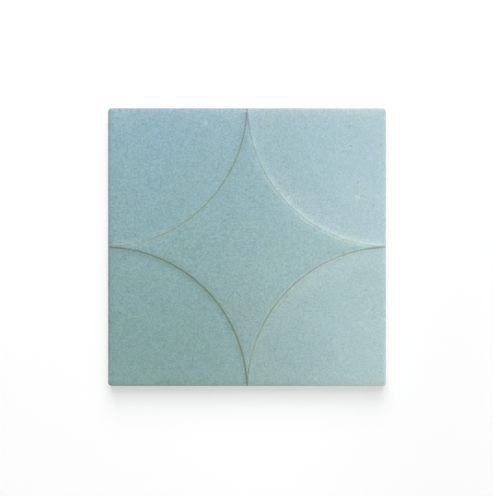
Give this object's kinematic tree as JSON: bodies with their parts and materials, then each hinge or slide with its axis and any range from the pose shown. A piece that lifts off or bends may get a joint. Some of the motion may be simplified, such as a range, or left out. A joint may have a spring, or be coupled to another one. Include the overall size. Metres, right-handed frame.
{
  "type": "relief porcelain tile",
  "caption": "Square glazed porcelain tile whose raised, concave-sided star stands between sunk quarter-round fields, with eased edges and a grooved back for adhesive.",
  "frame": {"origin": "middle of the back face", "axes": "+Z points out of the glazed face; X and Y run along the edges, with +Y towards the picture's top edge and +X towards its right edge"},
  "size_m": [0.15, 0.15, 0.0092],
  "materials": {
    "glaze": "semi-matt pale blue-green glaze, mottled, breaking to khaki along the star's raised edge"
  },
  "bodies": {
    "root": {"tile": "glaze"}
  },
  "joints": []
}
